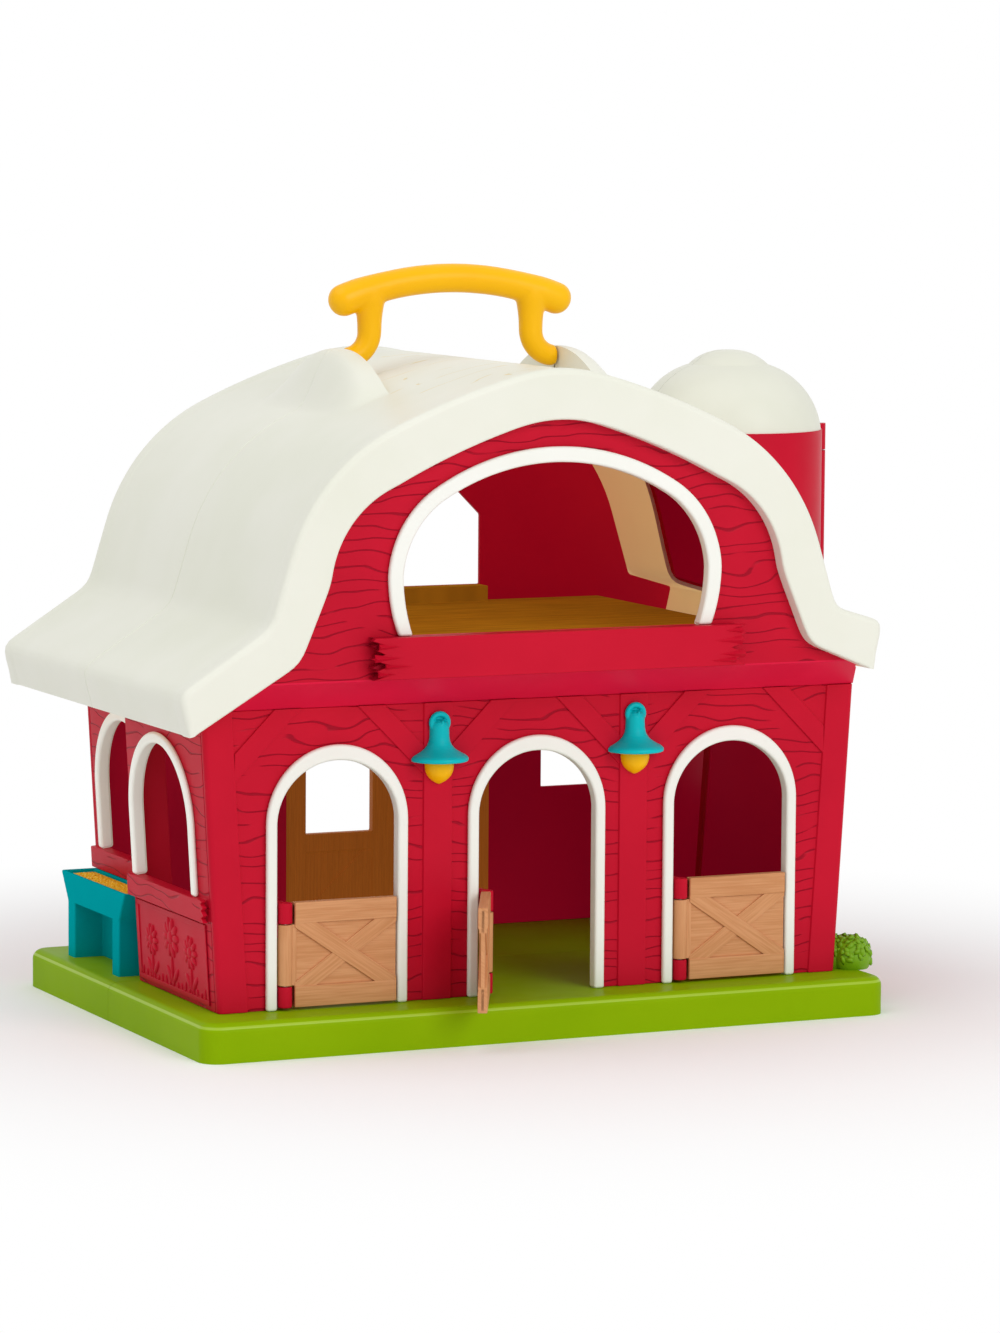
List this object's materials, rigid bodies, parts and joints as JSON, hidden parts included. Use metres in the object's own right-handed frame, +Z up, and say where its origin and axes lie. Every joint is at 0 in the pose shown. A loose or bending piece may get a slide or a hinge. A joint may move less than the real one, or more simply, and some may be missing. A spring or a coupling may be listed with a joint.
{
  "type": "toy barn",
  "caption": "Moulded play barn in two hinged halves with a carrying handle, half doors, loft, silo and feed trough",
  "frame": {"origin": "on the underside of the base, below the middle doorway's axis, halfway between the base's front and rear", "axes": "+X along the front towards the silo, +Y from the front to the rear, +Z up"},
  "size_m": [0.38, 0.2563, 0.3444],
  "materials": {
    "grass_green": "smooth moulded, soft gloss",
    "barn_red": "moulded with engraved wood grain, soft gloss",
    "cream": "smooth moulded, soft gloss",
    "door_brown": "moulded with fine wood grain",
    "board_brown": "moulded with board grain",
    "gate_brown": "moulded with wood grain",
    "teal": "smooth moulded",
    "yellow": "smooth moulded, glossy",
    "feed_yellow": "moulded grains",
    "pin_steel": "plain drawn steel"
  },
  "bodies": {
    "front_half": {"base_front": "grass_green", "base_plate_front": "grass_green", "base_screws_front": "pin_steel", "loft_floor_front": "board_brown", "silo_front": "barn_red", "silo_dome_front": "cream", "window_trim_front": "cream", "wall_left_front": "barn_red", "wall_right_front": "barn_red", "front_wall": "barn_red", "front_gable": "barn_red", "loft_trim": "cream", "loft_plank": "barn_red", "roof_front": "cream", "door_trim_left": "cream", "door_trim_middle": "cream", "door_trim_right": "cream", "door_pins": "pin_steel", "lamp_shade_left": "teal", "lamp_shade_right": "teal", "lamp_bulb_left": "yellow", "lamp_bulb_right": "yellow", "handle_pins": "pin_steel", "bush": "grass_green"},
    "rear_half": {"base_rear": "grass_green", "base_plate_rear": "grass_green", "base_screws_rear": "pin_steel", "loft_floor_rear": "board_brown", "silo_rear": "barn_red", "silo_dome_rear": "cream", "window_trim_rear": "cream", "wall_left_rear": "barn_red", "wall_right_rear": "barn_red", "roof_rear": "cream", "rear_wall": "barn_red", "rear_gate": "gate_brown", "hinge_pin": "pin_steel", "trough": "teal", "trough_feed": "feed_yellow"},
    "door_left": {"door_left": "door_brown"},
    "door_middle": {"door_middle": "door_brown"},
    "door_right": {"door_right": "door_brown"},
    "handle": {"handle": "yellow"}
  },
  "joints": [
    {"name": "barn_opening", "type": "hinge", "parent": "front_half", "child": "rear_half", "pos_m": [0.194, 0.006, 0], "axis": [0, 0, -1], "range_deg": [0, 180]},
    {"name": "door_left_swing", "type": "hinge", "parent": "front_half", "child": "door_left", "pos_m": [-0.12275, -0.0923, 0.0412], "axis": [0, 0, 1], "range_deg": [-120, 0]},
    {"name": "door_middle_swing", "type": "hinge", "parent": "front_half", "child": "door_middle", "pos_m": [-0.02495, -0.0923, 0.0412], "axis": [0, 0, 1], "range_deg": [-4, 116]},
    {"name": "door_right_swing", "type": "hinge", "parent": "front_half", "child": "door_right", "pos_m": [0.07285, -0.0923, 0.0412], "axis": [0, 0, 1], "range_deg": [-120, 0]},
    {"name": "handle_fold", "type": "hinge", "parent": "front_half", "child": "handle", "pos_m": [0, 0.006, 0.301], "axis": [1, 0, 0], "range_deg": [-60, 60]}
  ]
}
